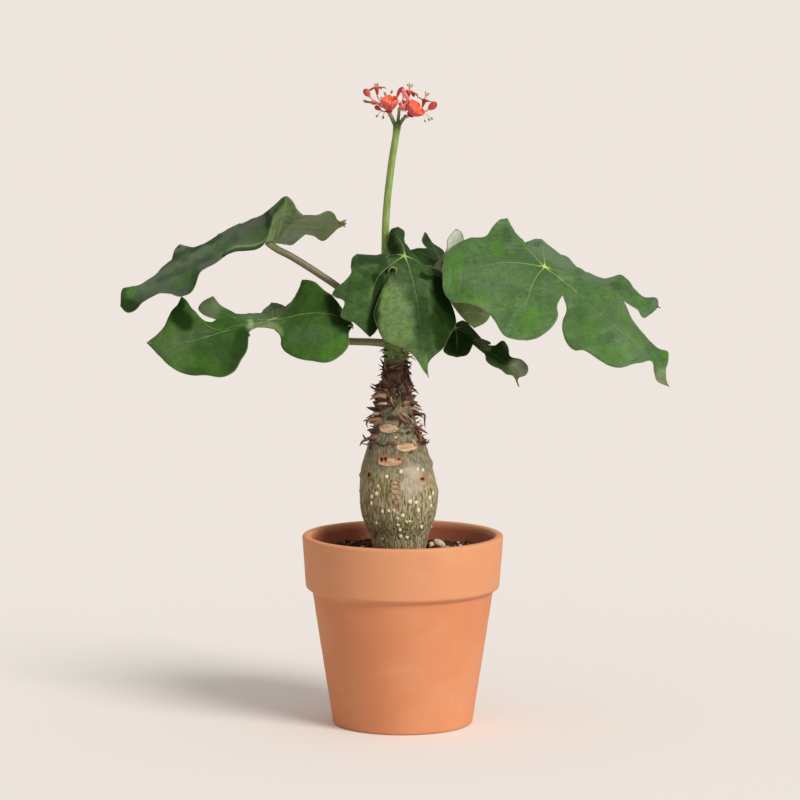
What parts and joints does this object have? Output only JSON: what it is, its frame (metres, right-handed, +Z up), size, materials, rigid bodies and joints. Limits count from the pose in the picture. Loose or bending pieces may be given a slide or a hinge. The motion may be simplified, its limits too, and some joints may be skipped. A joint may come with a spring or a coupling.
{
  "type": "potted bottle-stem jatropha",
  "caption": "Swollen-stemmed plant with broad lobed leaves on long stalks and a head of small coral flowers on a tall stalk, growing in a round rimmed terracotta pot.",
  "frame": {"origin": "centre of the pot's underside, on the pot's axis, in the plane that the pot stands on", "axes": "+Z up along the pot's axis; +X to the right as the plant is seen from the front; +Y away from the viewer"},
  "size_m": [0.4016, 0.1702, 0.4762],
  "materials": {
    "terracotta": "matte",
    "potting_soil": "matte",
    "pebble": "matte",
    "bark": "matte",
    "young_stem": "satin",
    "leaf_stalk": "satin",
    "leaf": "satin",
    "flower_stalk": "satin",
    "petal": "satin",
    "stamen": "matte",
    "bud": "satin"
  },
  "bodies": {
    "root": {"pot": "terracotta", "soil": "potting_soil", "trunk": "bark", "shoot_tip": "young_stem", "peduncle": "flower_stalk", "pebble_1": "pebble", "pebble_2": "pebble", "pebble_3": "pebble", "pebble_4": "pebble", "pebble_5": "pebble", "petiole_right": "leaf_stalk", "leaf_right": "leaf", "petiole_front": "leaf_stalk", "leaf_front": "leaf", "petiole_left_upper": "leaf_stalk", "leaf_left_upper": "leaf", "petiole_left_lower": "leaf_stalk", "leaf_left_lower": "leaf", "petiole_right_lower": "leaf_stalk", "leaf_right_lower": "leaf", "petiole_back": "leaf_stalk", "leaf_back": "leaf", "bloom_1": "petal", "stamens_1": "stamen", "bloom_2": "petal", "stamens_2": "stamen", "bloom_3": "petal", "stamens_3": "stamen", "bloom_4": "petal", "stamens_4": "stamen", "bloom_5": "petal", "stamens_5": "stamen", "bloom_6": "petal", "stamens_6": "stamen", "bloom_7": "petal", "stamens_7": "stamen", "bud_1": "bud", "bud_2": "bud", "bud_3": "bud", "bud_4": "bud"}
  },
  "joints": []
}
